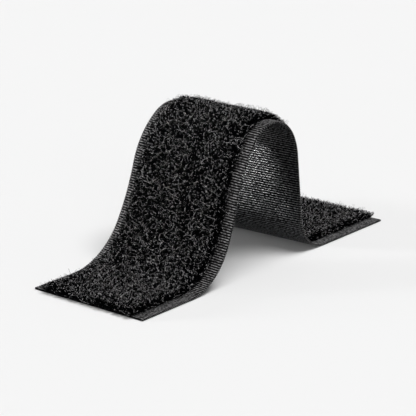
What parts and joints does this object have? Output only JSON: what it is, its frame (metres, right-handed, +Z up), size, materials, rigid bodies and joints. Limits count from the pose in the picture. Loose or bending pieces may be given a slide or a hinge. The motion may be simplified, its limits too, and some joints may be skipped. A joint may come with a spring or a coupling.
{
  "type": "woven loop tape strip",
  "caption": "Short strip of black woven loop tape, the soft half of a hook and loop fastener, bent into a free-standing arch.",
  "frame": {"origin": "on the floor below the middle of the strip: the centre of the underside of the bounding box", "axes": "+X along the strip from its front foot to its rear foot, +Y across the tape to the far selvedge, +Z up"},
  "size_m": [0.0704, 0.025, 0.0283],
  "materials": {
    "weave": "woven nylon, satin",
    "selvedge": "ribbed woven nylon, satin",
    "pile": "napped nylon loops, shiny filaments in a matt mass",
    "coating": "thin clear binder on black weave, semi-gloss"
  },
  "bodies": {
    "root": {"back_coating": "coating", "ground_weave": "weave", "near_selvedge": "selvedge", "far_selvedge": "selvedge", "near_edge_cord": "selvedge", "far_edge_cord": "selvedge", "pile_row_01": "pile", "pile_row_02": "pile", "pile_row_03": "pile", "pile_row_04": "pile", "pile_row_05": "pile", "pile_row_06": "pile", "pile_row_07": "pile", "pile_row_08": "pile", "pile_row_09": "pile", "pile_row_10": "pile", "pile_row_11": "pile", "pile_row_12": "pile"}
  },
  "joints": []
}
